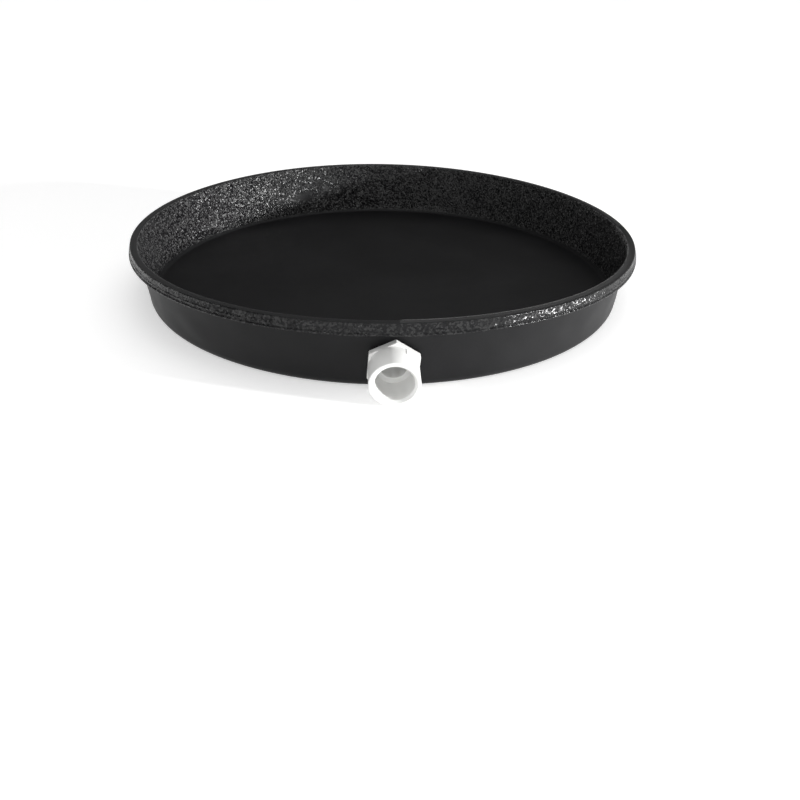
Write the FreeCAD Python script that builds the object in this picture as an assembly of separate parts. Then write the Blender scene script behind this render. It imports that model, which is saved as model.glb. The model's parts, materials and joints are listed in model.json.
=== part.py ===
"""Round plastic catch pan with a white PVC drain adapter screwed through its wall.

Frame: the origin is the centre of the pan's underside, +Z is up and the drain
outlet leaves towards -Y. All sizes are in millimetres.
"""
import FreeCAD
import Part

import math
import os

from FreeCAD import Vector

# Pan: one vacuum-formed sheet with a folded-over lip
RIM_RADIUS = 279.4            # outermost edge of the lip's trim flange, a 22 in pan
PAN_HEIGHT = 65.0             # underside of the base to the top of the lip
SHEET = 2.0                   # sheet thickness
SEAT_RADIUS = 236.0           # flat of the floor that nothing overhangs
WALL_DRAFT = 6.2              # lean of the wall away from vertical, degrees
FOOT_RADIUS = 262.1           # where the wall's inner line would meet the base plane
FOOT_FILLET = 6.0             # floor to wall, on the inside
MOUTH_FILLET = 2.6            # wall to the flat top of the lip
LIP_TOP_RADIUS = 276.4        # outer corner of the flat top of the lip
LIP_TOP_FILLET = 1.0
LIP_UNDER_INSET = 1.3         # the same corner on the underside of the sheet
LIP_UNDER_FILLET = 0.7        # every corner of the lip on the underside of the sheet
LIP_SLOPE_RADIUS = 278.7      # foot of the lip's sloping outer face
LIP_SLOPE_DROP = 5.8          # how far that lies below the top
LIP_SLOPE_FILLET = 0.8
LIP_SKIRT_RADIUS = 278.2      # foot of the short skirt under the slope
LIP_SKIRT_DROP = 8.6
LIP_SKIRT_FILLET = 0.4
TRIM_DROP = 9.1               # upper face of the small trim flange
TRIM_FILLET = 0.3
LIP_FOOT_DROP = 10.4          # lower face of the trim flange

# Drain axis: square to the wall, so it falls slightly on the way out
DRAIN_HEIGHT = 25.8           # where the axis crosses the wall's outer face
HOLE_RADIUS = 17.2

# Drain adapter: a slip socket for pipe outside, a hexagon, a male thread inside
GASKET_THICKNESS = 2.2        # at the drain's centre line
GASKET_RADIUS = 20.4
GASKET_BORE_RADIUS = 16.7
GASKET_REACH = 3.0            # how far the blank reaches past the drain's centre, to the curved wall
HEX_ACROSS_FLATS = 43.8
HEX_LENGTH = 5.6
HEX_CORNER_RADIUS = 25.0      # the hexagon's corners are turned down to this
HEX_ROOT = 1.0                # how deep the hexagon's blank starts under the socket's surface
HEX_TURN = -4.3               # the hexagon stopped a little short of point-up, degrees
SOCKET_RADIUS = 22.0
SOCKET_END = 32.6             # end of the socket, from the wall
SOCKET_EDGE = 0.9             # chamfer round the end, outside
PIPE_BORE_RADIUS = 16.75      # slip socket for 1 in pipe, 33.4 mm outside
PIPE_BORE_DEPTH = 26.8
PIPE_BORE_CHAMFER = 2.2
WATERWAY_RADIUS = 11.6
THREAD_PITCH = 2.209          # 11.5 threads per inch
THREAD_RADIUS = 16.5
THREAD_DEPTH = 1.3
THREAD_CREST = 0.2            # flat of each crest, as a share of the pitch
THREAD_FLANK = 0.25           # each flank, as a share of the pitch
THREAD_FIRST = 0.15           # plain root ahead of each ridge, as a share of the pitch
THREAD_TURNS = 9
THREAD_NECK = 2.4             # plain neck between the hexagon and the first thread
THREAD_LEAD_IN = 1.2

# Slip washer and locknut, on the thread inside the pan
WASHER_RADIUS = 19.4
WASHER_THICKNESS = 1.6
WALL_CLEARANCE = 0.35         # least gap between the washer's edge and the curved wall
NUT_ACROSS_FLATS = 38.1
NUT_LENGTH = 8.5
NUT_CORNER_RADIUS = 21.6
NUT_TURN = 30.0               # the nut rests with a flat up, degrees
NUT_CHAMFER = 0.8
NUT_BOSS_RADIUS = 18.4        # round face that bears on the washer
NUT_BOSS_LENGTH = 0.8
BORE_CLEARANCE = 0.1          # round the thread's crests
RING_GAP = 0.05               # between the washer and the nut

# Cutting tools
DRILL_REACH = 20.0            # how far the hole's drill reaches each way from the wall
CUT_SPARE = 1.0               # how far a cutting cylinder stands past the faces it cuts
HEX_SIDES = 6

DRAFT = math.radians(WALL_DRAFT)
OUTER_FOOT_RADIUS = FOOT_RADIUS + SHEET / math.cos(DRAFT)
DRAIN_RADIUS = OUTER_FOOT_RADIUS + math.tan(DRAFT) * DRAIN_HEIGHT
BORE_RADIUS = THREAD_RADIUS + BORE_CLEARANCE


def rounded_path(corners):
    """Edges through corners of (r, z, fillet radius), in the X-Z plane."""
    points = [Vector(r, 0, z) for r, z, _ in corners]
    edges = []
    start = points[0]
    for index in range(1, len(points) - 1):
        corner = points[index]
        radius = corners[index][2]
        back = (points[index - 1] - corner).normalize()
        ahead = (points[index + 1] - corner).normalize()
        if radius == 0:
            edges.append(Part.LineSegment(start, corner).toShape())
            start = corner
            continue
        half = back.getAngle(ahead) / 2
        reach = radius / math.tan(half)
        bisector = (back + ahead).normalize()
        centre = corner + bisector * (radius / math.sin(half))
        middle = centre - bisector * radius
        last = corner + ahead * reach
        edges.append(Part.LineSegment(start, corner + back * reach).toShape())
        edges.append(Part.Arc(corner + back * reach, middle, last).toShape())
        start = last
    edges.append(Part.LineSegment(start, points[-1]).toShape())
    return edges


def pan_section():
    """The sheet's section, from the axis to the trimmed edge of the lip."""
    top = PAN_HEIGHT
    slope = math.tan(DRAFT)
    under = top - SHEET
    upper = [
        (0, SHEET, 0),
        (SEAT_RADIUS, SHEET, 0),
        (FOOT_RADIUS + slope * SHEET, SHEET, FOOT_FILLET),
        (FOOT_RADIUS + slope * top, top, MOUTH_FILLET),
        (LIP_TOP_RADIUS, top, LIP_TOP_FILLET),
        (LIP_SLOPE_RADIUS, top - LIP_SLOPE_DROP, LIP_SLOPE_FILLET),
        (LIP_SKIRT_RADIUS, top - LIP_SKIRT_DROP, LIP_SKIRT_FILLET),
        (RIM_RADIUS, top - TRIM_DROP, TRIM_FILLET),
        (RIM_RADIUS, top - LIP_FOOT_DROP, 0),
    ]
    lower = [
        (0, 0, 0),
        (OUTER_FOOT_RADIUS, 0, FOOT_FILLET + SHEET),
        (OUTER_FOOT_RADIUS + slope * under, under, LIP_UNDER_FILLET),
        (LIP_TOP_RADIUS - LIP_UNDER_INSET, under, LIP_UNDER_FILLET),
        (LIP_SLOPE_RADIUS - SHEET, top - LIP_SLOPE_DROP, LIP_UNDER_FILLET),
        (LIP_SKIRT_RADIUS - SHEET, top - LIP_FOOT_DROP, 0),
    ]
    upper_path = rounded_path(upper)
    lower_path = rounded_path(lower)
    axis_edge = Part.LineSegment(Vector(0, 0, 0), Vector(0, 0, SHEET)).toShape()
    lip_edge = Part.LineSegment(
        Vector(LIP_SKIRT_RADIUS - SHEET, 0, top - LIP_FOOT_DROP),
        Vector(RIM_RADIUS, 0, top - LIP_FOOT_DROP),
    ).toShape()
    edges = upper_path + lower_path + [axis_edge, lip_edge]
    return Part.Face(Part.Wire(Part.__sortEdges__(edges)))


def revolve(face):
    """A full turn of a face about the Z axis."""
    return face.revolve(Vector(0, 0, 0), Vector(0, 0, 1), 360)


def rod(radius, start, end):
    """A round rod between two stations along +Z."""
    return Part.makeCylinder(radius, end - start, Vector(0, 0, start))


def tube(outer, inner, start, end):
    """A ring between two stations along +Z."""
    return rod(outer, start, end).cut(rod(inner, start - CUT_SPARE, end + CUT_SPARE))


def turned(points):
    """A solid turned about +Z from (radius, station) corners."""
    wire = Part.makePolygon([Vector(r, 0, z) for r, z in points + points[:1]])
    return revolve(Part.Face(wire))


def hexagon(across_flats, start, length, turn):
    """A hexagonal prism along +Z; with no turn a corner points along +X."""
    sector = 2 * math.pi / HEX_SIDES
    corner = across_flats / 2 / math.cos(sector / 2)
    corners = []
    for index in range(HEX_SIDES + 1):
        angle = sector * index + math.radians(turn)
        corners.append(Vector(corner * math.cos(angle), corner * math.sin(angle), start))
    return Part.Face(Part.makePolygon(corners)).extrude(Vector(0, 0, length))


def onto_drain(shape):
    """Moves a shape from its own axis, +Z outward, onto the drain.

    Its origin lands where the drain axis crosses the wall's outer face, its +Z
    points out and slightly down, and its +X points up along the wall.
    """
    outward = Vector(0, -math.cos(DRAFT), -math.sin(DRAFT))
    upward = Vector(0, -math.sin(DRAFT), math.cos(DRAFT))
    across = outward.cross(upward)
    matrix = FreeCAD.Matrix(
        upward.x, across.x, outward.x, 0,
        upward.y, across.y, outward.y, -DRAIN_RADIUS,
        upward.z, across.z, outward.z, DRAIN_HEIGHT,
        0, 0, 0, 1,
    )
    moved = shape.copy()
    moved.Placement = FreeCAD.Placement(matrix)
    return moved


def make_pan():
    """The pan with its drain hole."""
    pan = revolve(pan_section())
    drill = onto_drain(rod(HOLE_RADIUS, -DRILL_REACH, DRILL_REACH))
    return pan.cut(drill)


def make_gasket(pan):
    """Rubber gasket between hexagon and wall, pressed to the wall's curve."""
    blank = onto_drain(tube(GASKET_RADIUS, GASKET_BORE_RADIUS, -GASKET_REACH, GASKET_THICKNESS))
    return max(blank.cut(pan).Solids, key=outwardness)


def outwardness(solid):
    """How far out along -Y a solid's centre lies."""
    return -solid.CenterOfMass.y


def thread_profile(start):
    """Corners (radius, station) of the thread, crest by crest, going inward."""
    root = THREAD_RADIUS - THREAD_DEPTH
    flank = THREAD_FLANK * THREAD_PITCH
    crest = THREAD_CREST * THREAD_PITCH
    corners = [(root, start)]
    for turn in range(THREAD_TURNS):
        station = start - (turn + THREAD_FIRST) * THREAD_PITCH
        corners.append((root, station))
        corners.append((THREAD_RADIUS, station - flank))
        corners.append((THREAD_RADIUS, station - flank - crest))
        corners.append((root, station - 2 * flank - crest))
    end = start - THREAD_TURNS * THREAD_PITCH
    corners.append((root, end))
    corners.append((root - THREAD_LEAD_IN, end - THREAD_LEAD_IN))
    return corners


def make_adapter():
    """Socket, hexagon and thread in one moulding, open from end to end."""
    face = GASKET_THICKNESS
    shoulder = SOCKET_END - PIPE_BORE_DEPTH
    corners = thread_profile(face - THREAD_NECK)
    inner_end = corners[-1][1]
    neck = THREAD_RADIUS - THREAD_DEPTH
    turned_corners = [(neck, face)] + corners + [
        (WATERWAY_RADIUS, inner_end),
        (WATERWAY_RADIUS, shoulder),
        (PIPE_BORE_RADIUS, shoulder),
        (PIPE_BORE_RADIUS, SOCKET_END - PIPE_BORE_CHAMFER),
        (PIPE_BORE_RADIUS + PIPE_BORE_CHAMFER, SOCKET_END),
        (SOCKET_RADIUS - SOCKET_EDGE, SOCKET_END),
        (SOCKET_RADIUS, SOCKET_END - SOCKET_EDGE),
        (SOCKET_RADIUS, face),
    ]
    body = turned(turned_corners)
    front = face + HEX_LENGTH
    collar = hexagon(HEX_ACROSS_FLATS, face, HEX_LENGTH, HEX_TURN)
    collar = collar.common(tube(HEX_CORNER_RADIUS, SOCKET_RADIUS - HEX_ROOT, face, front))
    return onto_drain(body.fuse(collar).removeSplitter())


def washer_station():
    """Station of the washer's wall-side face, clear of the curved inner wall."""
    inner_radius = DRAIN_RADIUS - SHEET / math.cos(DRAFT)
    bulge = inner_radius - math.sqrt(inner_radius ** 2 - WASHER_RADIUS ** 2)
    return -SHEET - bulge - WALL_CLEARANCE


def make_washer():
    """Flat slip washer under the locknut."""
    top = washer_station()
    return onto_drain(tube(WASHER_RADIUS, BORE_RADIUS, top - WASHER_THICKNESS, top))


def make_locknut():
    """Hexagonal locknut with a round bearing face and turned-down corners."""
    top = washer_station() - WASHER_THICKNESS - RING_GAP
    bottom = top - NUT_LENGTH
    blank = hexagon(NUT_ACROSS_FLATS, bottom, NUT_LENGTH, NUT_TURN)
    envelope = turned([
        (0, bottom),
        (NUT_CORNER_RADIUS - 2 * NUT_CHAMFER, bottom),
        (NUT_CORNER_RADIUS, bottom + NUT_CHAMFER),
        (NUT_CORNER_RADIUS, top - NUT_BOSS_LENGTH),
        (NUT_BOSS_RADIUS, top - NUT_BOSS_LENGTH),
        (NUT_BOSS_RADIUS, top),
        (0, top),
    ])
    nut = blank.common(envelope)
    nut = nut.cut(rod(BORE_RADIUS, bottom - CUT_SPARE, top + CUT_SPARE))
    return onto_drain(nut)


def main():
    """Builds every piece and writes one STEP file for each."""
    os.makedirs("parts", exist_ok=True)
    pan = make_pan()
    pieces = {
        "pan": pan,
        "outer_gasket": make_gasket(pan),
        "drain_adapter": make_adapter(),
        "slip_washer": make_washer(),
        "locknut": make_locknut(),
    }
    for name, shape in pieces.items():
        shape.exportStep("parts/" + name + ".step")
        box = shape.BoundBox
        print(name, shape.isValid(), len(shape.Solids), round(shape.Volume), "mm3", box)


main()
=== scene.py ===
"""Looks of a round plastic drain pan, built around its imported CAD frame.

The pan is one vacuum-formed sheet with a folded-over lip. A white PVC adapter is
screwed through its wall, with a rubber gasket outside and a slip washer and a
locknut inside. Sizes are in millimetres until a piece is placed, then in metres.
"""

import json
import logging
import math
from dataclasses import dataclass
from enum import Enum

import bmesh
import bpy
from mathutils import Matrix, Vector, noise

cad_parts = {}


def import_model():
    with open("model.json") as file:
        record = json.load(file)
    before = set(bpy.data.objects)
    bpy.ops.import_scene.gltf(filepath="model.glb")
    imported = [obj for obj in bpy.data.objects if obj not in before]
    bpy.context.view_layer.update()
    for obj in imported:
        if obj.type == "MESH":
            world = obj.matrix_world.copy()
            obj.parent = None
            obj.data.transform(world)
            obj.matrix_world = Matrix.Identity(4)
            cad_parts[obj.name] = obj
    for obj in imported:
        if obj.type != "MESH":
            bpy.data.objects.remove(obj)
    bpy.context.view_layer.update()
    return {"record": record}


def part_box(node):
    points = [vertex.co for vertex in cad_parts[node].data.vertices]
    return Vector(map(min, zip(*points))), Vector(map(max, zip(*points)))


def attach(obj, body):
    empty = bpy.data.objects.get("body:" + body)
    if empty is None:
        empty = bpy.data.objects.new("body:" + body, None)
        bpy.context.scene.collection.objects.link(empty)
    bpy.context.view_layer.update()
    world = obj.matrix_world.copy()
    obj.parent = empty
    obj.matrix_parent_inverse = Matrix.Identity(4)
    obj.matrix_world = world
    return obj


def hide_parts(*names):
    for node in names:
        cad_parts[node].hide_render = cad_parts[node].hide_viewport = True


LOG = logging.getLogger("drain_pan")
MM = 0.001
TURN = 2 * math.pi

SOCKET_END = 32.6  # mouth of the pipe socket, from the wall along the drain's axis
BORE_CHAMFER = 2.2  # chamfer round the mouth of the pipe bore
COLLAR_FACE = 2.2  # the collar's face, one gasket's thickness out from the wall
NECK = 2.4  # plain neck between the collar and the first thread
RIM_SPARE = 0.4  # a hexagon's blank is turned this much over its corners
MARGIN = 0.1  # reach of a selection past the faces it selects

NEAR = 1e-3  # how far a vertex may lie off the ring it belongs to
MERGE = 1e-4  # vertices closer than this are one
ROUNDING_PER_MM = 2.5  # bevel segments per millimetre of rounding
FEWEST_SEGMENTS = 3
MOST_SEGMENTS = 6
FLAT_FACE_LEAD = 60  # how strongly large faces lead the shading at their edges

Colour = tuple[float, float, float, float]


class Slot(Enum):
    """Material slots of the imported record."""

    SHEET = "black_sheet"
    RUBBER = "black_rubber"
    PVC = "white_pvc"
    NYLON = "natural_nylon"


class Body(Enum):
    """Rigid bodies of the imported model."""

    PAN = "pan_body"
    WASHER = "washer_body"
    NUT = "locknut_body"


def clamped(value: float) -> float:
    """A value kept between 0 and 1."""
    return min(1.0, max(0.0, value))


# ---- Shader arithmetic ----


class Signal:
    """A node socket that takes part in Python arithmetic."""

    def __init__(self, graph: "Graph", socket: bpy.types.NodeSocket) -> None:
        """Wraps a socket.

        Args:
            graph: The material's node graph.
            socket: An output socket that carries one number.
        """
        self.graph = graph
        self.socket = socket

    def _math(self, operation: str, first: object, second: object) -> "Signal":
        """Adds one Math node for an operation on two values."""
        return self.graph.node("ShaderNodeMath", {"operation": operation}, {0: first, 1: second})

    def __add__(self, other: object) -> "Signal":
        """Sum."""
        return self._math("ADD", self, other)

    def __radd__(self, other: object) -> "Signal":
        """Reflected sum."""
        return self._math("ADD", other, self)

    def __sub__(self, other: object) -> "Signal":
        """Difference."""
        return self._math("SUBTRACT", self, other)

    def __rsub__(self, other: object) -> "Signal":
        """Reflected difference."""
        return self._math("SUBTRACT", other, self)

    def __mul__(self, other: object) -> "Signal":
        """Product."""
        return self._math("MULTIPLY", self, other)

    def __rmul__(self, other: object) -> "Signal":
        """Reflected product."""
        return self._math("MULTIPLY", other, self)

    def __pow__(self, other: object) -> "Signal":
        """Power."""
        return self._math("POWER", self, other)

    def larger(self, other: object) -> "Signal":
        """The larger of two values."""
        return self._math("MAXIMUM", self, other)

    def ramp(self, low: float, high: float) -> "Signal":
        """A smooth step from 0 at low to 1 at high.

        Args:
            low: Value at which the step starts.
            high: Value at which the step has ended.

        Returns:
            The step, between 0 and 1.
        """
        settings = {"interpolation_type": "SMOOTHSTEP", "clamp": True}
        return self.graph.node("ShaderNodeMapRange", settings, {"Value": self, 1: low, 2: high})


class Graph:
    """The node graph of one material, built by a few short methods."""

    def __init__(self, name: str) -> None:
        """Makes a material that holds only a shader and its output.

        Args:
            name: The material's name.
        """
        self.material = bpy.data.materials.new(name)
        self.material.use_nodes = True
        self.tree = self.material.node_tree
        self.tree.nodes.clear()
        self.shader = self.tree.nodes.new("ShaderNodeBsdfPrincipled")
        output = self.tree.nodes.new("ShaderNodeOutputMaterial")
        self.tree.links.new(self.shader.outputs["BSDF"], output.inputs["Surface"])

    def feed(self, socket: bpy.types.NodeSocket, value: object) -> None:
        """Links a signal to a socket, or sets a constant on it.

        Args:
            socket: The input socket.
            value: The signal or the constant.
        """
        if isinstance(value, Signal):
            self.tree.links.new(value.socket, socket)
        else:
            socket.default_value = value

    def node(self, kind: str, settings: dict, values: dict, out: object = 0) -> Signal:
        """Adds a node.

        Args:
            kind: The node's type.
            settings: Its properties, set before its sockets.
            values: Constants or signals for its input sockets, by name or place.
            out: The output socket to return.

        Returns:
            The output as a signal.
        """
        made = self.tree.nodes.new(kind)
        for key, value in settings.items():
            setattr(made, key, value)
        for key, value in values.items():
            self.feed(made.inputs[key], value)
        return Signal(self, made.outputs[out])

    def place(self, scale: float = 1.0) -> Signal:
        """Object coordinates, scaled."""
        coordinates = self.node("ShaderNodeTexCoord", {}, {}, "Object")
        return self.node("ShaderNodeMapping", {}, {"Vector": coordinates, "Scale": (scale,) * 3})

    def axis(self, where: Signal, name: str) -> Signal:
        """One coordinate, X, Y or Z, of a place."""
        return self.node("ShaderNodeSeparateXYZ", {}, {"Vector": where}, name)

    def noise(self, where: Signal, scale: float, detail: float = 2.0, rough: float = 0.5) -> Signal:
        """Perlin noise between 0 and 1."""
        values = {"Vector": where, "Scale": scale, "Detail": detail, "Roughness": rough}
        return self.node("ShaderNodeTexNoise", {}, values, "Fac")

    def vector(self, operation: str, first: object, second: object, out: object = 0) -> Signal:
        """One Vector Math operation on two vectors."""
        values = {0: first, 1: second}
        return self.node("ShaderNodeVectorMath", {"operation": operation}, values, out)

    def blend(self, share: object, first: object, second: object) -> Signal:
        """Mixes two colours."""
        values = {0: share, 6: first, 7: second}
        return self.node("ShaderNodeMix", {"data_type": "RGBA"}, values, 2)

    def bump(
        self, height: Signal, depth: float, strength: float, below: Signal | None = None
    ) -> Signal:
        """Turns a height into a normal.

        Args:
            height: Height between 0 and 1.
            depth: Depth in metres that a height of 1 stands for.
            strength: Share of the effect.
            below: An earlier normal that this one is laid over.

        Returns:
            The normal.
        """
        values = {"Height": height, "Distance": depth, "Strength": strength}
        if below is not None:
            values["Normal"] = below
        return self.node("ShaderNodeBump", {}, values, "Normal")

    def finish(self, **sockets: object) -> bpy.types.Material:
        """Feeds the shader's sockets.

        Args:
            sockets: Values by socket name, with _ for each space.

        Returns:
            The material.
        """
        for name, value in sockets.items():
            self.feed(self.shader.inputs[name.replace("_", " ")], value)
        return self.material


# ---- Finishes ----


@dataclass(frozen=True)
class GrainedSheet:
    """Black formed sheet: haircell grain on the inner wall and the lip, satin elsewhere.

    The grain is a field of small cells. Each cell leans its own way, and some cells
    are painted paler: painted glints that stand in for light sparkling on the grain.
    Lengths are in millimetres.
    """

    foot_radius: float
    draft: float
    sheet: float
    lip_inner: float
    lip_foot: float
    dark: Colour = (0.0044, 0.0044, 0.0049, 1.0)
    worn: Colour = (0.0095, 0.0095, 0.0102, 1.0)
    worn_from: float = 0.45
    worn_full: float = 1.05
    # Colour and threshold of the painted glints: paler cells that stand in for light caught by the
    # grain's facets.
    painted_glint: Colour = (0.062, 0.062, 0.062, 1.0)
    painted_glint_from: float = 0.35
    facet: float = 1.65
    grain_depth: float = 0.7
    grain_from: float = 3.0
    grain_full: float = 7.0
    grain_edge: float = 0.3
    lip_grain: float = 0.52
    lip_edge: float = 0.4
    fine_cells: float = 1.1
    fine_share: float = 0.45
    fine_wear: float = 0.25
    patch_scale: float = 0.011
    patch_gloss: float = 0.14
    streak_scale: float = 0.05
    streak_gloss: float = 0.06
    skin_scale: float = 0.35
    skin_strength: float = 0.6
    satin_depth: float = 0.03
    satin_roughness: float = 0.48
    grain_roughness: float = 0.24
    specular: float = 0.19

    def grained(self, graph: Graph, where: Signal) -> tuple[Signal, Signal]:
        """Where the sheet shows its grain; the floor, the foot and the outside are plain.

        Args:
            graph: The node graph.
            where: Object coordinates in millimetres.

        Returns:
            Two masks: the inner wall and the lip.
        """
        x, y, z = (graph.axis(where, name) for name in "XYZ")
        radius = (x * x + y * y) ** 0.5
        middle = self.foot_radius + self.sheet / 2 + z * math.tan(self.draft)
        inside_wall = 1 - (radius - middle).ramp(-self.grain_edge, self.grain_edge)
        above_foot = z.ramp(self.grain_from, self.grain_full)
        out_on_lip = radius.ramp(self.lip_inner, self.lip_inner + self.lip_edge)
        up_on_lip = z.ramp(self.lip_foot, self.lip_foot + self.lip_edge)
        return inside_wall * above_foot, out_on_lip * up_on_lip

    def build(self) -> bpy.types.Material:
        """Makes the material.

        Returns:
            The finished material.
        """
        graph = Graph("black_formed_sheet")
        where = graph.place(1 / MM)
        on_wall, on_lip = self.grained(graph, where)
        grained = on_wall.larger(on_lip * self.lip_grain)
        cells = {"Vector": where, "Scale": 1 / self.facet}
        tint = graph.node("ShaderNodeTexVoronoi", {"feature": "F1"}, cells, "Color")
        centre = Signal(graph, tint.socket.node.outputs["Position"])
        away = graph.vector("SUBTRACT", where, centre)
        lean = graph.vector("SUBTRACT", tint, (0.5, 0.5, 0.5))
        facets = graph.vector("DOT_PRODUCT", away, lean, "Value")
        fine = graph.noise(where, self.fine_cells / self.facet, detail=2.0, rough=0.6)
        patches = graph.noise(where, self.patch_scale, detail=3.0, rough=0.55)
        streaks = graph.noise(where, self.streak_scale)
        grain = (facets + fine * self.fine_share) * grained
        normal = graph.bump(grain, self.grain_depth * MM, 1.0)
        skin = graph.noise(where, self.skin_scale, detail=3.0) * (1 - grained)
        normal = graph.bump(skin, self.satin_depth * MM, self.skin_strength, normal)
        polished = on_wall.larger(on_lip) * (self.satin_roughness - self.grain_roughness)
        roughness = self.satin_roughness - polished
        roughness = roughness + (patches - 0.5) * self.patch_gloss
        roughness = roughness + (streaks - 0.5) * self.streak_gloss
        wear = (patches + fine * self.fine_wear).ramp(self.worn_from, self.worn_full)
        # Painted glints: random grain cells are painted paler to stand in for the sparkle of light
        # on the facets.
        painted_glints = graph.axis(tint, "X").ramp(self.painted_glint_from, 1.0) * grained
        colour = graph.blend(painted_glints, graph.blend(wear, self.dark, self.worn), self.painted_glint)
        return graph.finish(
            Base_Color=colour,
            Roughness=roughness,
            Normal=normal,
            Specular_IOR_Level=self.specular,
        )


@dataclass(frozen=True)
class MouldedPlastic:
    """Plain moulded plastic with a faint skin texture and slight colour drift."""

    name: str
    light: Colour
    shade: Colour
    roughness: float
    skin_scale: float = 0.45
    skin_depth: float = 0.02
    skin_strength: float = 0.7
    speck_scale: float = 2.3
    speck_share: float = 0.3
    speck_gloss: float = 0.08
    drift_scale: float = 0.06
    drift_from: float = 0.3
    drift_full: float = 0.75
    drift_gloss: float = 0.12
    subsurface: float = 0.0
    light_reach: float = 3.0
    ior: float = 1.52

    def build(self) -> bpy.types.Material:
        """Makes the material.

        Returns:
            The finished material.
        """
        graph = Graph(self.name)
        where = graph.place(1 / MM)
        drift = graph.noise(where, self.drift_scale, detail=3.0, rough=0.55)
        skin = graph.noise(where, self.skin_scale, detail=4.0, rough=0.6)
        specks = graph.noise(where, self.speck_scale)
        shaded = drift.ramp(self.drift_from, self.drift_full)
        colour = graph.blend(shaded, self.light, self.shade)
        roughness = self.roughness + (drift - 0.5) * self.drift_gloss
        roughness = roughness + (specks - 0.5) * self.speck_gloss
        height = skin * (1 - self.speck_share) + specks * self.speck_share
        normal = graph.bump(height, self.skin_depth * MM, self.skin_strength)
        return graph.finish(
            Base_Color=colour,
            Roughness=roughness,
            Normal=normal,
            IOR=self.ior,
            Subsurface_Weight=self.subsurface,
            Subsurface_Radius=(1.0, 1.0, 1.0),
            Subsurface_Scale=self.light_reach * MM,
        )


@dataclass(frozen=True)
class PaleFloor:
    """A plain pale studio floor, lit a little from within so that it stays even."""

    tone: float = 0.86
    drift_tone: float = 0.985
    drift_scale: float = 1.3
    roughness: float = 0.9
    specular: float = 0.1
    glow: float = 0.49

    def build(self) -> bpy.types.Material:
        """Makes the material.

        Returns:
            The finished material.
        """
        graph = Graph("pale_floor")
        drift = graph.noise(graph.place(), self.drift_scale)
        light = (self.tone,) * 3 + (1.0,)
        shade = (self.tone * self.drift_tone,) * 3 + (1.0,)
        colour = graph.blend(drift, light, shade)
        return graph.finish(
            Base_Color=colour,
            Roughness=self.roughness,
            Specular_IOR_Level=self.specular,
            Emission_Color=colour,
            Emission_Strength=self.glow,
        )


# ---- Turned shapes ----


@dataclass(frozen=True)
class Corner:
    """One corner of a turned section: radius, station along the axis, rounding."""

    radius: float
    station: float
    fillet: float = 0.0

    @property
    def point(self) -> Vector:
        """The corner in the X-Z plane."""
        return Vector((self.radius, 0, self.station))


@dataclass(frozen=True)
class Turned:
    """A body of revolution about Z, with each ring of corners rounded by a bevel."""

    corners: tuple[Corner, ...]
    steps: int
    closed: bool = True
    longest: float = 1000.0

    def wire(self, mesh: bmesh.types.BMesh) -> None:
        """Draws the section, its long runs divided.

        Args:
            mesh: The empty mesh to draw in.
        """
        verts = [mesh.verts.new(corner.point) for corner in self.corners]
        ends = verts[1:] + verts[:1] if self.closed else verts[1:]
        for first, second in zip(verts, ends):
            mesh.edges.new((first, second))
        long_edges = self.too_long(mesh)
        while long_edges:
            bmesh.ops.subdivide_edges(mesh, edges=long_edges, cuts=1)
            long_edges = self.too_long(mesh)

    def too_long(self, mesh: bmesh.types.BMesh) -> list[bmesh.types.BMEdge]:
        """The edges that are longer than the section allows."""
        return [edge for edge in mesh.edges if edge.calc_length() > self.longest]

    def reach(self, index: int) -> float:
        """How far a corner's rounding reaches along its two runs.

        Args:
            index: The corner's place in the section.

        Returns:
            The reach, in millimetres.
        """
        corner = self.corners[index]
        before = self.corners[index - 1].point
        after = self.corners[(index + 1) % len(self.corners)].point
        bend = (corner.point - before).angle(after - corner.point)
        return corner.fillet * math.tan(bend / 2)

    def round_ring(self, mesh: bmesh.types.BMesh, index: int) -> None:
        """Rounds the ring that one corner was turned into.

        Args:
            mesh: The turned mesh.
            index: The corner's place in the section.
        """
        corner = self.corners[index]
        segments = round(corner.fillet * ROUNDING_PER_MM)

        def on_ring(vert: bmesh.types.BMVert) -> bool:
            """Whether a vertex lies on the corner's ring."""
            off = abs(math.hypot(vert.co.x, vert.co.y) - corner.radius)
            return off < NEAR and abs(vert.co.z - corner.station) < NEAR

        ring = [edge for edge in mesh.edges if all(on_ring(vert) for vert in edge.verts)]
        bmesh.ops.bevel(
            mesh,
            geom=ring,
            offset=self.reach(index),
            offset_type="OFFSET",
            segments=max(FEWEST_SEGMENTS, min(MOST_SEGMENTS, segments)),
            profile=0.5,
            affect="EDGES",
            clamp_overlap=False,
            material=-1,
        )

    def build(self) -> bmesh.types.BMesh:
        """Turns the section and rounds its rings.

        Returns:
            A closed mesh with its faces outward.
        """
        mesh = bmesh.new()
        self.wire(mesh)
        bmesh.ops.spin(
            mesh,
            geom=mesh.verts[:] + mesh.edges[:],
            cent=(0, 0, 0),
            axis=(0, 0, 1),
            dvec=(0, 0, 0),
            angle=TURN,
            steps=self.steps,
            use_merge=True,
        )
        bmesh.ops.remove_doubles(mesh, verts=mesh.verts[:], dist=MERGE)
        bmesh.ops.recalc_face_normals(mesh, faces=mesh.faces[:])
        for index, corner in enumerate(self.corners):
            if corner.fillet:
                self.round_ring(mesh, index)
        return mesh


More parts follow.
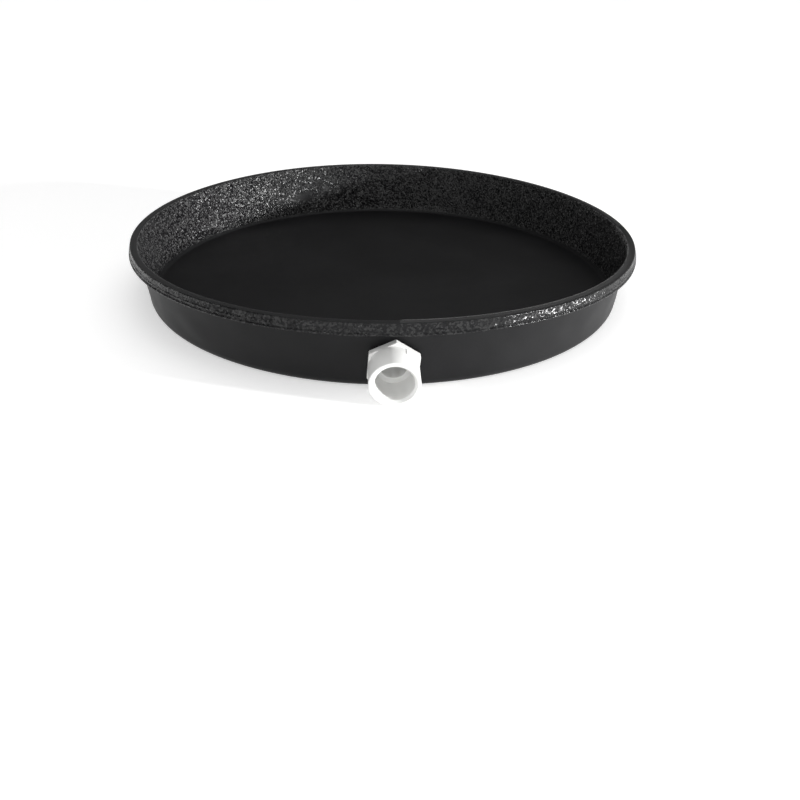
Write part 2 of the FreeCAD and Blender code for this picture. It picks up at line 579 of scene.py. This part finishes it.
@dataclass(frozen=True)
class Hexagon:
    """The outline of a hexagon whose corners are turned down to a circle."""

    across_flats: float
    corner_radius: float
    turn: float = 0.0

    def radius(self, angle: float) -> float:
        """Distance from the centre to the outline.

        Args:
            angle: Angle from +X, in radians.

        Returns:
            The distance, in millimetres.
        """
        sixth = TURN / 6
        off_flat = (angle - self.turn) % sixth - sixth / 2
        return min(self.across_flats / 2 / math.cos(off_flat), self.corner_radius)

    def shape(
        self, mesh: bmesh.types.BMesh, core: float, rim: float, low: float, high: float
    ) -> None:
        """Draws a turned collar in to the hexagon.

        Args:
            mesh: The turned mesh.
            core: Radius inside which nothing moves.
            rim: Radius of the turned collar.
            low: Lowest station of the collar.
            high: Highest station of the collar.
        """
        for vert in mesh.verts:
            radius = math.hypot(vert.co.x, vert.co.y)
            if radius <= core or not low <= vert.co.z <= high:
                continue
            wanted = self.radius(math.atan2(vert.co.y, vert.co.x))
            new = core + (radius - core) * (wanted - core) / (rim - core)
            vert.co.x *= new / radius
            vert.co.y *= new / radius


@dataclass(frozen=True)
class Helix:
    """A right-hand screw thread's ridge, running out in a cone at both ends."""

    root: float
    crest: float
    pitch: float
    turns: float
    start: float
    steps: int = 48
    sunk_depth: float = 0.12
    root_width: float = 0.86
    crest_width: float = 0.22
    run_out: float = 0.9

    def limit(self, station: float) -> float:
        """The ridge's largest share of its height.

        Args:
            station: Place along the thread's axis.

        Returns:
            The share, falling to 0 at both ends of the thread.
        """
        end = self.start - self.turns * self.pitch
        from_end = min(self.start - station, station - end)
        return clamped(from_end / (self.run_out * self.pitch))

    def build(self) -> bmesh.types.BMesh:
        """Winds the ridge's section along its helix.

        Returns:
            A closed ridge, sunk a little into its root cylinder.
        """
        mesh = bmesh.new()
        rise = self.crest - self.root
        sunk = self.root - self.sunk_depth * math.copysign(1.0, rise)
        half_root = self.root_width * self.pitch / 2
        half_crest = self.crest_width * self.pitch / 2
        outline = [
            (sunk, -half_root),
            (self.crest, -half_crest),
            (self.crest, half_crest),
            (sunk, half_root),
        ]
        verts = [mesh.verts.new((radius, 0, self.start + along)) for radius, along in outline]
        for first, second in zip(verts, verts[1:] + verts[:1]):
            mesh.edges.new((first, second))
        bmesh.ops.spin(
            mesh,
            geom=mesh.verts[:] + mesh.edges[:],
            cent=(0, 0, 0),
            axis=(0, 0, 1),
            dvec=(0, 0, -self.pitch / self.steps),
            angle=-TURN * self.turns,
            steps=round(self.steps * self.turns),
            use_merge=False,
        )
        open_edges = [edge for edge in mesh.edges if edge.is_boundary]
        bmesh.ops.holes_fill(mesh, edges=open_edges, sides=4)
        for vert in mesh.verts:
            radius = math.hypot(vert.co.x, vert.co.y)
            share = (radius - sunk) / (self.crest - sunk)
            new = sunk + (self.crest - sunk) * min(share, self.limit(vert.co.z))
            vert.co.x *= new / radius
            vert.co.y *= new / radius
        bmesh.ops.recalc_face_normals(mesh, faces=mesh.faces[:])
        return mesh


def joined(meshes: list[bmesh.types.BMesh]) -> bmesh.types.BMesh:
    """Puts several meshes into one.

    Args:
        meshes: The meshes; all but the first are freed.

    Returns:
        The first mesh, which holds them all.
    """
    whole = meshes[0]
    for extra in meshes[1:]:
        data = bpy.data.meshes.new("part")
        extra.to_mesh(data)
        extra.free()
        whole.from_mesh(data)
        bpy.data.meshes.remove(data)
    return whole


def finished(
    name: str, mesh: bmesh.types.BMesh, place: Matrix, material: bpy.types.Material
) -> bpy.types.Object:
    """Makes a smooth-shaded object from a mesh in millimetres.

    Args:
        name: The piece's name.
        mesh: Its mesh, which is freed.
        place: Where it goes in the frame, in millimetres.
        material: Its finish.

    Returns:
        The object, at the origin, with its place in its mesh.
    """
    bmesh.ops.transform(mesh, matrix=Matrix.Scale(MM, 4) @ place, verts=mesh.verts[:])
    for face in mesh.faces:
        face.smooth = True
    data = bpy.data.meshes.new(name)
    mesh.to_mesh(data)
    mesh.free()
    data.materials.append(material)
    piece = bpy.data.objects.new(name, data)
    bpy.context.scene.collection.objects.link(piece)
    weigh = piece.modifiers.new("flat_faces_lead", "WEIGHTED_NORMAL")
    weigh.mode = "FACE_AREA"
    weigh.weight = FLAT_FACE_LEAD
    weigh.keep_sharp = True
    return piece


def declare(piece: bpy.types.Object, node: str, body: Body) -> None:
    """Says which body a piece rides on, and which CAD node it stands for.

    Args:
        piece: The finished piece.
        node: The CAD node that it replaces.
        body: The rigid body that carries it.
    """
    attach(piece, body.value)
    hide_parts(node)
    LOG.info("%s: %d faces, rides on %s", piece.name, len(piece.data.polygons), body.value)


# ---- The pan ----


@dataclass(frozen=True)
class DrainPan:
    """The formed sheet: floor, wall and folded-over lip with its trim flange.

    Drops are measured down from the top of the lip, and turns from +X in radians.
    """

    rim_radius: float
    height: float
    sheet: float = 2.0
    draft: float = math.radians(6.2)
    foot_radius: float = 262.1
    foot_fillet: float = 6.0
    mouth_fillet: float = 2.6
    lip_top_radius: float = 277.3
    lip_top_fillet: float = 1.2
    lip_slope_radius: float = 277.7
    lip_slope_drop: float = 5.0
    lip_ledge_radius: float = 278.9
    lip_ledge_drop: float = 5.9
    lip_skirt_radius: float = 278.3
    lip_skirt_drop: float = 8.6
    trim_drop: float = 9.1
    lip_foot_drop: float = 10.4
    slope_fillet: float = 0.35
    ledge_fillet: float = 0.9
    skirt_fillet: float = 0.3
    trim_fillet: float = 0.25
    under_fillet: float = 0.7
    under_inset: float = 1.3
    grain_inset: float = 0.8
    grain_under: float = 3.4
    hole_radius: float = 17.2
    hole_steps: int = 96
    drill_length: float = 30.0
    steps: int = 384
    longest_run: float = 11.0
    saddle: float = 2.4
    saddle_turn: float = 0.10
    dip: float = 1.2
    dip_turn: float = -0.70
    dip_power: int = 6
    dent: float = 1.0
    dent_turn: float = 1.92
    dent_width: float = 4.5
    dent_station: float = 6.5
    dent_height: float = 3.5
    wave: float = 1.3
    wave_from: float = 7.0
    wave_fade: float = 14.0
    wave_below_top: float = 15.0
    wave_top_fade: float = 10.0
    waves_around: float = 3.4
    wave_height: float = 38.0
    fine_waves: float = 2.7
    inward_share: float = 0.35
    floor_wave: float = 0.35
    floor_margin: float = 14.0
    floor_fade: float = 40.0
    swell_width: float = 120.0
    swell_lift: float = 0.6
    wall_margin: float = 10.0

    def section(self) -> tuple[Corner, ...]:
        """Draws the sheet's section.

        Returns:
            Its corners, from the axis out along the top and back underneath.
        """
        top = self.height
        lean = math.tan(self.draft)
        under = top - self.sheet
        ledge = top - self.lip_ledge_drop
        lip_foot = top - self.lip_foot_drop
        outer_foot = self.foot_radius + self.sheet / math.cos(self.draft)
        return (
            Corner(0, self.sheet),
            Corner(self.foot_radius + lean * self.sheet, self.sheet, self.foot_fillet),
            Corner(self.foot_radius + lean * top, top, self.mouth_fillet),
            Corner(self.lip_top_radius, top, self.lip_top_fillet),
            Corner(self.lip_slope_radius, top - self.lip_slope_drop, self.slope_fillet),
            Corner(self.lip_ledge_radius, ledge, self.ledge_fillet),
            Corner(self.lip_skirt_radius, top - self.lip_skirt_drop, self.skirt_fillet),
            Corner(self.rim_radius, top - self.trim_drop, self.skirt_fillet),
            Corner(self.rim_radius, lip_foot, self.trim_fillet),
            Corner(self.lip_skirt_radius - self.sheet, lip_foot, self.trim_fillet),
            Corner(self.lip_slope_radius - self.sheet, ledge, self.under_fillet),
            Corner(self.lip_top_radius - self.under_inset, under, self.under_fillet),
            Corner(outer_foot + lean * under, under, self.under_fillet),
            Corner(outer_foot, 0, self.foot_fillet + self.sheet),
            Corner(0, 0),
        )

    def lift(self, point: Vector) -> float:
        """How far the warped rim lifts a point of the wall.

        Args:
            point: A point of the turned pan.

        Returns:
            The lift, negative where the rim hangs.
        """
        angle = math.atan2(point.y, point.x)
        share = max(0.0, point.z / self.height)
        twist = self.saddle * math.cos(2 * (angle - self.saddle_turn))
        sunk = self.dip * max(0.0, math.cos(angle - self.dip_turn)) ** self.dip_power
        return -share * (twist + sunk)

    def crease(self, point: Vector) -> float:
        """The small dent that handling left in the back of the wall, just above the foot.

        Args:
            point: A point of the turned pan.

        Returns:
            The dent's depth there.
        """
        aside = math.atan2(point.y, point.x) - self.dent_turn
        off = aside * self.foot_radius / self.dent_width
        rise = (point.z - self.dent_station) / self.dent_height
        return self.dent * math.exp(-off * off - rise * rise)

    def wall_push(self, point: Vector) -> float:
        """Gentle unevenness of the formed wall.

        Args:
            point: A point of the turned pan.

        Returns:
            How far the point moves outward; the outer face moves inward only a
            little, so that the sheet keeps its thickness.
        """
        angle = math.atan2(point.y, point.x)
        share = clamped((point.z - self.wave_from) / self.wave_fade)
        share *= clamped((self.height - self.wave_below_top - point.z) / self.wave_top_fade)
        around = Vector((math.cos(angle), math.sin(angle), 0)) * self.waves_around
        around.z = point.z / self.wave_height
        broad = noise.noise(around)
        fine = noise.noise(around * self.fine_waves + Vector((9, 2, 5)))
        push = share * self.wave * (broad + fine) - self.crease(point)
        middle = self.foot_radius + self.sheet / 2 + point.z * math.tan(self.draft)
        if math.hypot(point.x, point.y) > middle:
            return max(push, -self.inward_share * self.sheet)
        return push

    def floor_push(self, point: Vector) -> float:
        """Gentle unevenness of the floor.

        Args:
            point: A point of the turned pan.

        Returns:
            How far the point rises.
        """
        radius = math.hypot(point.x, point.y)
        share = clamped((self.foot_radius - self.floor_margin - radius) / self.floor_fade)
        swell = noise.noise(Vector((point.x, point.y, 0)) / self.swell_width) + self.swell_lift
        return self.floor_wave * share * max(0.0, swell)

    def settle(self, mesh: bmesh.types.BMesh) -> None:
        """Moves the turned mesh by what forming and cooling did to the sheet.

        Args:
            mesh: The turned pan.
        """
        for vert in mesh.verts:
            point = vert.co.copy()
            radius = math.hypot(point.x, point.y)
            if radius > self.foot_radius - self.wall_margin:
                push = self.wall_push(point)
                vert.co.x *= 1 + push / radius
                vert.co.y *= 1 + push / radius
                vert.co.z += self.lift(point)
            else:
                vert.co.z += self.floor_push(point)

    def cut_hole(self, pan: bpy.types.Object, place: Matrix) -> None:
        """Cuts the drain hole through the wall.

        Args:
            pan: The pan, whose mesh is replaced by the cut one.
            place: The drain's place in the frame, in millimetres.
        """
        cutter = bmesh.new()
        bmesh.ops.create_cone(
            cutter,
            cap_ends=True,
            segments=self.hole_steps,
            radius1=self.hole_radius,
            radius2=self.hole_radius,
            depth=self.drill_length,
        )
        bmesh.ops.transform(cutter, matrix=Matrix.Scale(MM, 4) @ place, verts=cutter.verts[:])
        data = bpy.data.meshes.new("drill")
        cutter.to_mesh(data)
        cutter.free()
        drill = bpy.data.objects.new("drill", data)
        bpy.context.scene.collection.objects.link(drill)
        cut = pan.modifiers.new("hole", "BOOLEAN")
        cut.operation = "DIFFERENCE"
        cut.solver = "EXACT"
        cut.object = drill
        weigh = pan.modifiers[0]
        weigh.show_viewport = False
        graph = bpy.context.evaluated_depsgraph_get()
        result = bpy.data.meshes.new_from_object(pan.evaluated_get(graph))
        old = pan.data
        pan.modifiers.remove(cut)
        pan.data = result
        result.name = "pan"
        bpy.data.meshes.remove(old)
        bpy.data.objects.remove(drill)
        bpy.data.meshes.remove(data)
        weigh.show_viewport = True

    def build(self, drain: Matrix) -> bpy.types.Object:
        """Builds the pan.

        Args:
            drain: The drain's place in the frame, in millimetres.

        Returns:
            The pan's object.
        """
        finish = GrainedSheet(
            foot_radius=self.foot_radius,
            draft=self.draft,
            sheet=self.sheet,
            lip_inner=self.lip_top_radius - self.grain_inset,
            lip_foot=self.height - self.trim_drop - self.grain_under,
        )
        section = self.section()
        mesh = Turned(section, self.steps, closed=False, longest=self.longest_run).build()
        self.settle(mesh)
        pan = finished("formed_pan", mesh, Matrix.Identity(4), finish.build())
        self.cut_hole(pan, drain)
        declare(pan, "pan", Body.PAN)
        return pan


# ---- The drain fitting ----


@dataclass(frozen=True)
class DrainAxis:
    """The drain's own axes: +Z out of the pan, +X up the wall."""

    mouth: Vector
    outward: Vector

    @property
    def place(self) -> Matrix:
        """The drain's place.

        Returns:
            The matrix from the drain's axes to the frame, in millimetres.
        """
        across = self.outward.cross(Vector((0, 0, 1))).normalized()
        upward = across.cross(self.outward)
        turn = Matrix((upward, self.outward.cross(upward), self.outward)).transposed()
        return Matrix.Translation(self.mouth) @ turn.to_4x4()

    @property
    def wall_radius(self) -> float:
        """Radius of the wall's outer face where the drain crosses it."""
        return math.hypot(self.mouth.x, self.mouth.y)

    def sag(self, across: float) -> float:
        """How far the curved wall falls back from the flat.

        Args:
            across: Level distance from the drain's axis.

        Returns:
            The sag, in millimetres.
        """
        radius = self.wall_radius
        return radius - math.sqrt(radius * radius - across * across)


@dataclass(frozen=True)
class ScrewThread:
    """Sizes shared by the adapter's thread and the locknut."""

    pitch: float = 2.209
    crest: float = 16.5
    root: float = 15.2
    turns: float = 9.0


@dataclass(frozen=True)
class DrainAdapter:
    """White moulding: slip socket, hexagonal collar and male thread."""

    axis: DrainAxis
    thread: ScrewThread
    bore_radius: float
    socket_end: float = SOCKET_END
    face: float = COLLAR_FACE
    collar_length: float = 5.6
    across_flats: float = 43.8
    corner_radius: float = 25.0
    collar_turn: float = -4.3
    socket_radius: float = 22.0
    socket_edge: float = 0.8
    socket_taper: float = 0.1
    collar_core: float = 0.6
    bore_chamfer: float = BORE_CHAMFER
    bore_taper: float = 0.12
    shoulder: float = 5.8
    waterway: float = 11.6
    lead_in: float = 1.2
    bar_turn: float = -28.5
    bar_length: float = 7.0
    bar_width: float = 1.1
    bar_rise: float = 0.45
    bar_sunk: float = 1.0
    bar_gap: float = 0.9
    bar_edge: float = 0.2
    steps: int = 360
    longest_run: float = 12.0

    @property
    def front(self) -> float:
        """Station of the collar's front face."""
        return self.face + self.collar_length

    @property
    def collar_rim(self) -> float:
        """Radius of the collar's blank."""
        return self.corner_radius + RIM_SPARE

    def section(self) -> tuple[Corner, ...]:
        """Draws the moulding's section.

        Returns:
            Its corners, from the inner end out along the bore and back outside.
        """
        root = self.thread.root
        neck_end = self.face - NECK
        inner_end = neck_end - self.thread.turns * self.thread.pitch - self.lead_in
        bore_mouth = self.bore_radius + self.bore_chamfer
        bore_end = self.socket_end - self.bore_chamfer
        return (
            Corner(self.waterway, inner_end, 0.4),
            Corner(self.waterway, self.shoulder, 0.6),
            Corner(self.bore_radius, self.shoulder, 0.5),
            Corner(self.bore_radius + self.bore_taper, bore_end, 0.6),
            Corner(bore_mouth, self.socket_end, 0.35),
            Corner(self.socket_radius - self.socket_taper, self.socket_end, self.socket_edge),
            Corner(self.socket_radius, self.front, 0.5),
            Corner(self.collar_rim, self.front, 0.35),
            Corner(self.collar_rim, self.face, 0.35),
            Corner(root, self.face, 0.3),
            Corner(root, inner_end + self.lead_in, 0.5),
            Corner(root - self.lead_in, inner_end, 0.3),
        )

    def raised_bar(self) -> bmesh.types.BMesh:
        """Makes the plain raised bar on the socket, beside the collar.

        Returns:
            The bar, sunk a little into the socket.
        """
        mesh = bmesh.new()
        bmesh.ops.create_cube(mesh, size=1.0)
        size = (self.bar_rise + self.bar_sunk, self.bar_width, self.bar_length)
        bmesh.ops.scale(mesh, vec=size, verts=mesh.verts[:])
        bmesh.ops.bevel(
            mesh,
            geom=mesh.edges[:],
            offset=self.bar_edge,
            offset_type="OFFSET",
            segments=3,
            profile=0.5,
            affect="EDGES",
            material=-1,
        )
        out = self.socket_radius + (self.bar_rise - self.bar_sunk) / 2
        middle = self.front + self.bar_gap + self.bar_length / 2
        turn = Matrix.Rotation(math.radians(self.bar_turn), 4, "Z")
        place = turn @ Matrix.Translation((out, 0, middle))
        bmesh.ops.transform(mesh, matrix=place, verts=mesh.verts[:])
        return mesh

    def build(self) -> bpy.types.Object:
        """Builds the adapter.

        Returns:
            The finished piece.
        """
        body = Turned(self.section(), self.steps, longest=self.longest_run).build()
        collar = Hexagon(self.across_flats, self.corner_radius, math.radians(self.collar_turn))
        core = self.socket_radius - self.collar_core
        collar.shape(body, core, self.collar_rim, self.face - MARGIN, self.front + MARGIN)
        ridge = Helix(
            root=self.thread.root,
            crest=self.thread.crest,
            pitch=self.thread.pitch,
            turns=self.thread.turns,
            start=self.face - NECK,
        )
        whole = joined([body, ridge.build(), self.raised_bar()])
        finish = MouldedPlastic(
            "white_pvc",
            light=(0.75, 0.75, 0.74, 1),
            shade=(0.71, 0.71, 0.695, 1),
            roughness=0.33,
            subsurface=0.2,
        )
        piece = finished("socket_adapter", whole, self.axis.place, finish.build())
        declare(piece, "drain_adapter", Body.PAN)
        return piece


@dataclass(frozen=True)
class Gasket:
    """Rubber ring squeezed between the collar and the curved wall."""

    axis: DrainAxis
    outer: float = 20.4
    inner: float = 16.7
    face: float = COLLAR_FACE
    edge: float = 0.3
    bulge: float = 0.7
    steps: int = 128
    longest_run: float = 1.2

    def build(self) -> bpy.types.Object:
        """Builds the gasket, its wall side pressed to the wall's curve.

        Returns:
            The finished piece.
        """
        section = (
            Corner(self.inner, 0.0, self.edge),
            Corner(self.inner, self.face, self.edge),
            Corner(self.outer, self.face, self.bulge),
            Corner(self.outer, 0.0, self.bulge),
        )
        mesh = Turned(section, self.steps, longest=self.longest_run).build()
        for vert in mesh.verts:
            share = 1 - vert.co.z / self.face
            vert.co.z -= self.axis.sag(vert.co.y) * share
        finish = MouldedPlastic(
            "black_rubber",
            light=(0.012, 0.012, 0.012, 1),
            shade=(0.022, 0.022, 0.022, 1),
            roughness=0.62,
            skin_scale=0.9,
            skin_depth=0.03,
        )
        piece = finished("rubber_gasket", mesh, self.axis.place, finish.build())
        declare(piece, "outer_gasket", Body.PAN)
        return piece


@dataclass(frozen=True)
class InnerFastening:
    """Slip washer and locknut on the adapter's thread, inside the pan."""

    axis: DrainAxis
    sheet: float
    washer_radius: float = 19.4
    washer_thickness: float = 1.6
    wall_clearance: float = 0.35
    across_flats: float = 38.1
    corner_radius: float = 21.6
    nut_length: float = 8.5
    nut_gap: float = 0.05
    nut_turn: float = math.radians(30)
    nut_crown: float = 1.6
    boss_radius: float = 18.4
    boss_length: float = 0.8
    bore: float = 16.6
    bore_lead: float = 0.9
    boss_lead: float = 0.6
    steps: int = 192

    @property
    def washer_top(self) -> float:
        """Station of the washer's wall-side face."""
        return -self.sheet - self.axis.sag(self.washer_radius) - self.wall_clearance

    def washer(self) -> bpy.types.Object:
        """Builds the slip washer.

        Returns:
            The finished piece.
        """
        top = self.washer_top
        bottom = top - self.washer_thickness
        section = (
            Corner(self.bore, bottom, 0.25),
            Corner(self.bore, top, 0.25),
            Corner(self.washer_radius, top, 0.4),
            Corner(self.washer_radius, bottom, 0.4),
        )
        mesh = Turned(section, self.steps).build()
        finish = MouldedPlastic(
            "natural_nylon",
            light=(0.70, 0.68, 0.61, 1),
            shade=(0.62, 0.60, 0.53, 1),
            roughness=0.42,
            subsurface=0.15,
        )
        piece = finished("nylon_washer", mesh, self.axis.place, finish.build())
        declare(piece, "slip_washer", Body.WASHER)
        return piece

    def locknut(self) -> bpy.types.Object:
        """Builds the locknut.

        Returns:
            The finished piece.
        """
        top = self.washer_top - self.washer_thickness - self.nut_gap
        bottom = top - self.nut_length
        rim = self.corner_radius + RIM_SPARE
        flat_top = top - self.boss_length
        section = (
            Corner(self.bore + self.bore_lead, bottom, 0.2),
            Corner(self.bore, bottom + self.bore_lead, 0.2),
            Corner(self.bore, top - self.boss_lead, 0.2),
            Corner(self.bore + self.boss_lead, top, 0.2),
            Corner(self.boss_radius, top, 0.3),
            Corner(self.boss_radius, flat_top, 0.3),
            Corner(rim, flat_top, 0.6),
            Corner(rim, bottom + self.bore_lead, 0.5),
            Corner(rim - self.nut_crown, bottom, 0.5),
        )
        mesh = Turned(section, self.steps).build()
        outline = Hexagon(self.across_flats, self.corner_radius, self.nut_turn)
        core = self.boss_radius + MARGIN
        outline.shape(mesh, core, rim, bottom - MARGIN, flat_top + MARGIN)
        finish = MouldedPlastic(
            "white_nut_pvc",
            light=(0.78, 0.78, 0.765, 1),
            shade=(0.72, 0.72, 0.70, 1),
            roughness=0.38,
            subsurface=0.08,
        )
        piece = finished("hex_locknut", mesh, self.axis.place, finish.build())
        declare(piece, "locknut", Body.NUT)
        return piece

    def build(self) -> None:
        """Builds the washer and the nut."""
        self.washer()
        self.locknut()


# ---- Studio ----


def towards(azimuth: float, elevation: float) -> Vector:
    """The direction of a lamp, seen from the pan.

    Args:
        azimuth: Degrees from the front towards the right.
        elevation: Degrees above the floor.

    Returns:
        A unit vector.
    """
    turn, rise = math.radians(azimuth), math.radians(elevation)
    flat = math.cos(rise)
    return Vector((math.sin(turn) * flat, -math.cos(turn) * flat, math.sin(rise)))


@dataclass(frozen=True)
class DistantLamp:
    """One lamp so far off that its light is even over the whole pan."""

    name: str
    azimuth: float
    elevation: float
    strength: float
    spread: float

    def build(self) -> None:
        """Hangs the lamp; its spread is its width in the sky, in degrees."""
        lamp = bpy.data.lights.new(self.name, "SUN")
        lamp.energy = self.strength
        lamp.angle = math.radians(self.spread)
        hung = bpy.data.objects.new(self.name, lamp)
        way = towards(self.azimuth, self.elevation)
        hung.rotation_euler = way.to_track_quat("Z", "Y").to_euler()
        bpy.context.scene.collection.objects.link(hung)


@dataclass(frozen=True)
class Softbox:
    """One soft rectangular lamp, aimed at a point just above the floor of the pan."""

    name: str
    azimuth: float
    elevation: float
    distance: float
    width: float
    depth: float
    power: float
    aim_height: float = 0.03

    def build(self) -> None:
        """Hangs the lamp at its distance, facing its aim."""
        lamp = bpy.data.lights.new(self.name, "AREA")
        lamp.shape = "RECTANGLE"
        lamp.size = self.width
        lamp.size_y = self.depth
        lamp.energy = self.power
        way = towards(self.azimuth, self.elevation)
        hung = bpy.data.objects.new(self.name, lamp)
        hung.location = Vector((0, 0, self.aim_height)) + way * self.distance
        hung.rotation_euler = way.to_track_quat("Z", "Y").to_euler()
        bpy.context.scene.collection.objects.link(hung)


@dataclass(frozen=True)
class Studio:
    """Pale floor, soft light and the camera, whose distance is in rim radii."""

    rim_radius: float
    lens: float = 32.42
    sensor: float = 36.0
    far: float = 200.0
    distance: float = 3.1107
    azimuth: float = math.radians(-1.75)
    elevation: float = math.radians(21.27)
    aim_down: float = math.radians(9.72)
    aim_right: float = math.radians(1.31)
    roll: float = math.radians(0.38)
    horizon_light: float = 1.0
    horizon_pale: float = math.radians(7)
    horizon_end: float = math.radians(17)
    room_light: float = 0.11
    floor_reach: float = 60.0
    floor_drop: float = 0.2

    def floor(self) -> None:
        """Lays the floor just under the pan."""
        mesh = bmesh.new()
        bmesh.ops.create_grid(mesh, x_segments=2, y_segments=2, size=self.floor_reach)
        data = bpy.data.meshes.new("studio_floor")
        mesh.to_mesh(data)
        mesh.free()
        data.materials.append(PaleFloor().build())
        floor = bpy.data.objects.new("studio_floor", data)
        floor.location.z = -self.floor_drop * MM
        bpy.context.scene.collection.objects.link(floor)

    def lights(self) -> None:
        """Hangs the lamps and sets the room's faint glow."""
        lamps = (
            DistantLamp("key_right", azimuth=73, elevation=6.2, strength=5.6, spread=3),
            DistantLamp("overhead", azimuth=130, elevation=72, strength=1.15, spread=70),
            Softbox("fill_left", -75, 30, distance=2.2, width=1.2, depth=0.8, power=1.5),
            Softbox("fill_front", -8, 28, distance=2.5, width=2.0, depth=1.2, power=18),
            Softbox("high_front", 0, 60, distance=2.2, width=2.4, depth=0.3, power=5),
        )
        for lamp in lamps:
            lamp.build()
        self.room()

    def room(self) -> None:
        """Makes the room: pale at the horizon, like the floor, and dim overhead."""
        world = bpy.data.worlds.new("room")
        world.use_nodes = True
        tree = world.node_tree
        way = tree.nodes.new("ShaderNodeTexCoord")
        height = tree.nodes.new("ShaderNodeSeparateXYZ")
        fade = tree.nodes.new("ShaderNodeMapRange")
        fade.interpolation_type = "SMOOTHSTEP"
        fade.inputs["From Min"].default_value = math.sin(self.horizon_pale)
        fade.inputs["From Max"].default_value = math.sin(self.horizon_end)
        fade.inputs["To Min"].default_value = self.horizon_light
        fade.inputs["To Max"].default_value = self.room_light
        back = tree.nodes["Background"]
        back.inputs["Color"].default_value = (1, 1, 1, 1)
        tree.links.new(way.outputs["Generated"], height.inputs["Vector"])
        tree.links.new(height.outputs["Z"], fade.inputs["Value"])
        tree.links.new(fade.outputs["Result"], back.inputs["Strength"])
        bpy.context.scene.world = world

    def camera(self) -> None:
        """Sets up the camera: above the front edge, aimed below the pan."""
        data = bpy.data.cameras.new("camera")
        data.lens = self.lens
        data.sensor_width = self.sensor
        data.clip_end = self.far
        camera = bpy.data.objects.new("camera", data)
        away = self.distance * self.rim_radius * MM
        spot = Vector((0, -math.cos(self.elevation), math.sin(self.elevation))) * away
        around = Matrix.Rotation(self.azimuth, 4, "Z")
        look = Matrix.Rotation(math.pi / 2 - self.elevation - self.aim_down, 4, "X")
        aside = Matrix.Rotation(-self.aim_right, 4, "Y")
        level = Matrix.Rotation(self.roll, 4, "Z")
        camera.matrix_world = around @ Matrix.Translation(spot) @ look @ aside @ level
        bpy.context.scene.collection.objects.link(camera)
        bpy.context.scene.camera = camera

    def build(self) -> None:
        """Sets the whole studio."""
        self.camera()
        self.floor()
        self.lights()
        view = bpy.context.scene.view_settings
        view.view_transform = "Standard"
        view.look = "None"
        LOG.info("studio: camera, floor and lamps are set")


# ---- Building ----


def drain_axis(record: dict) -> tuple[DrainAxis, float]:
    """Reads the drain's axis and the radius of its pipe bore from the record.

    Args:
        record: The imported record.

    Returns:
        The axis and the bore's radius, in millimetres.
    """
    mount = next(item for item in record["mounts"] if item["name"] == "pipe_socket")
    outward = Vector(mount["axis"]).normalized()
    middle = Vector(mount["pos_m"]) / MM
    along = SOCKET_END - BORE_CHAMFER - mount["dims"]["length_mm"] / 2
    return DrainAxis(middle - outward * along, outward), mount["dims"]["r_mm"]


def main() -> None:
    """Builds the studio and every piece."""
    logging.basicConfig(level=logging.INFO, format="%(name)s: %(message)s")
    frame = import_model()
    low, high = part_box("pan")
    rim_radius = (high.x - low.x) / 2 / MM
    height = (high.z - low.z) / MM
    axis, bore_radius = drain_axis(frame["record"])
    thread = ScrewThread()
    Studio(rim_radius).build()
    pan = DrainPan(rim_radius, height)
    pan.build(axis.place)
    DrainAdapter(axis, thread, bore_radius).build()
    Gasket(axis).build()
    InnerFastening(axis, pan.sheet).build()


if __name__ == "__main__":
    main()
